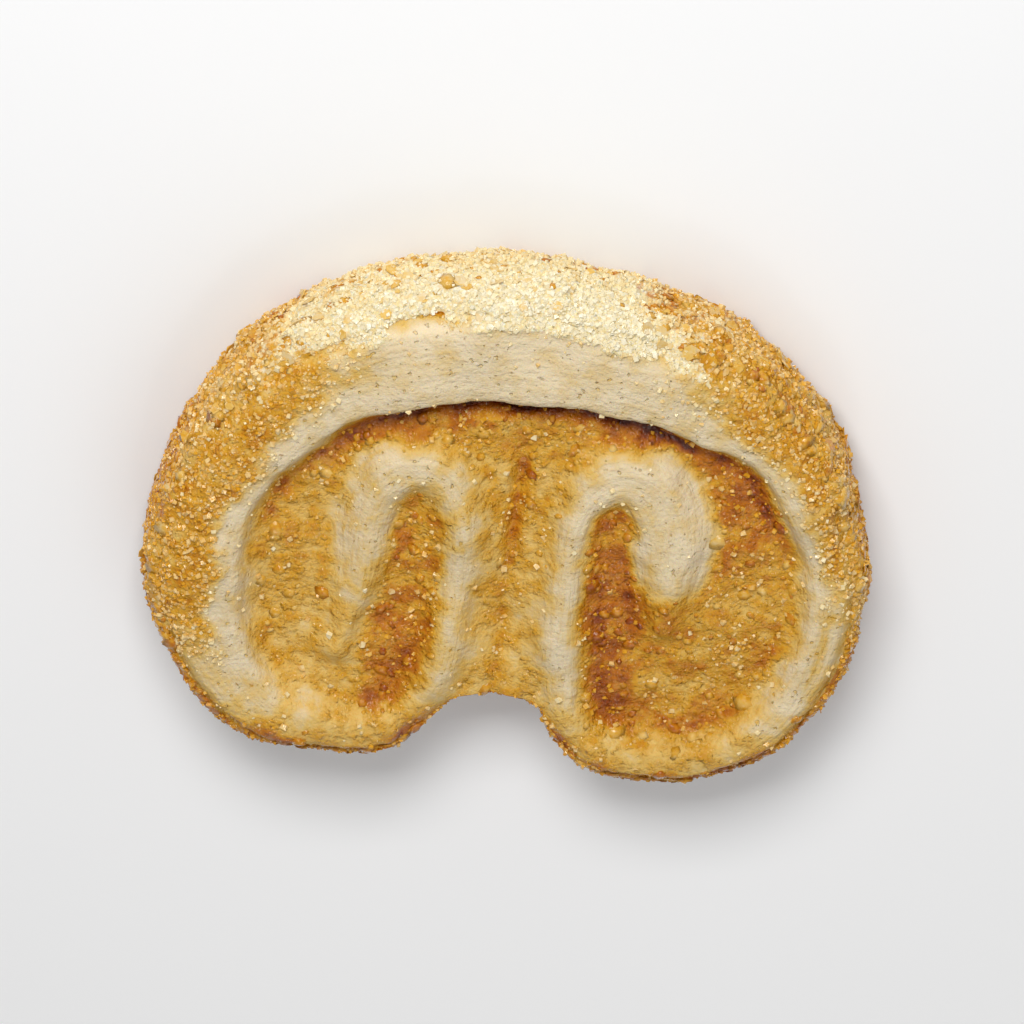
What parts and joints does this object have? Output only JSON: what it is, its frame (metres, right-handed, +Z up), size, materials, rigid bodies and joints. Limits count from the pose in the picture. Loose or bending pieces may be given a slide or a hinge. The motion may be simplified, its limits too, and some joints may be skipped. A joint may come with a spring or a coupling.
{
  "type": "palmier pastry",
  "caption": "Flat puff pastry folded from both ends to the middle, with a wide arch, curled rings of dough, caramel between the folds and a sugared rim.",
  "frame": {"origin": "centre of the bounding box in plan, on the surface that the pastry lies on", "axes": "+Z up out of the shown face, +Y towards the wide arch, +X across the two lobes"},
  "size_m": [0.0744, 0.0594, 0.0133],
  "materials": {
    "baked_dough": "matt baked laminated dough, pale on the cut folds and golden on the crust",
    "caramel": "glossy amber caramelised sugar",
    "sugar": "coarse sugar grains, partly browned",
    "flakes": "thin crisp flakes of dough"
  },
  "bodies": {
    "root": {"palmier": "baked_dough"}
  },
  "joints": []
}
